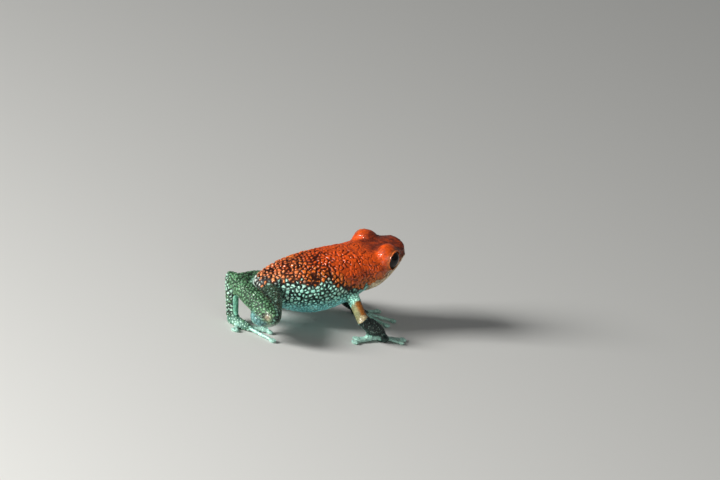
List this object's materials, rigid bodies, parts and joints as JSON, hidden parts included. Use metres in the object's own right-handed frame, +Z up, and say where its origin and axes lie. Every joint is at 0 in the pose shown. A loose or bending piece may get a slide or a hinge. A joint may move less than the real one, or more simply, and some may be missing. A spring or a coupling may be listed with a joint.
{
  "type": "granular poison frog",
  "caption": "Small granular-skinned frog standing on splayed feet, head raised and turned, one hind leg folded out at its side.",
  "frame": {"origin": "on the floor, under the middle of the frog's box", "axes": "+X the way the body faces, +Y its left side, +Z up"},
  "size_m": [0.0256, 0.019, 0.0106],
  "materials": {
    "crown": "smooth, moist orange-red skin with low granules",
    "back": "granular moist skin, orange-red above and blue-green below",
    "jaw": "pale moist skin",
    "arm": "granular moist skin",
    "leg": "granular moist skin",
    "digit": "smooth moist skin",
    "eye": "glossy black"
  },
  "bodies": {
    "root": {"head": "crown", "torso": "back", "lower_jaw": "jaw", "right_upper_arm": "arm", "right_forearm": "arm", "right_hand": "arm", "left_upper_arm": "arm", "left_forearm": "arm", "left_hand": "arm", "right_thigh": "leg", "right_shank": "leg", "right_tarsus": "leg", "right_foot": "leg", "left_thigh": "leg", "left_shank": "leg", "left_tarsus": "leg", "left_foot": "leg", "right_finger_1": "digit", "right_finger_2": "digit", "right_finger_3": "digit", "right_finger_4": "digit", "right_toe_1": "digit", "right_toe_2": "digit", "right_toe_3": "digit", "right_toe_4": "digit", "right_toe_5": "digit", "left_finger_1": "digit", "left_finger_2": "digit", "left_finger_3": "digit", "left_finger_4": "digit", "left_toe_1": "digit", "left_toe_2": "digit", "left_toe_3": "digit", "left_toe_4": "digit", "left_toe_5": "digit", "right_eye": "eye", "left_eye": "eye"}
  },
  "joints": []
}
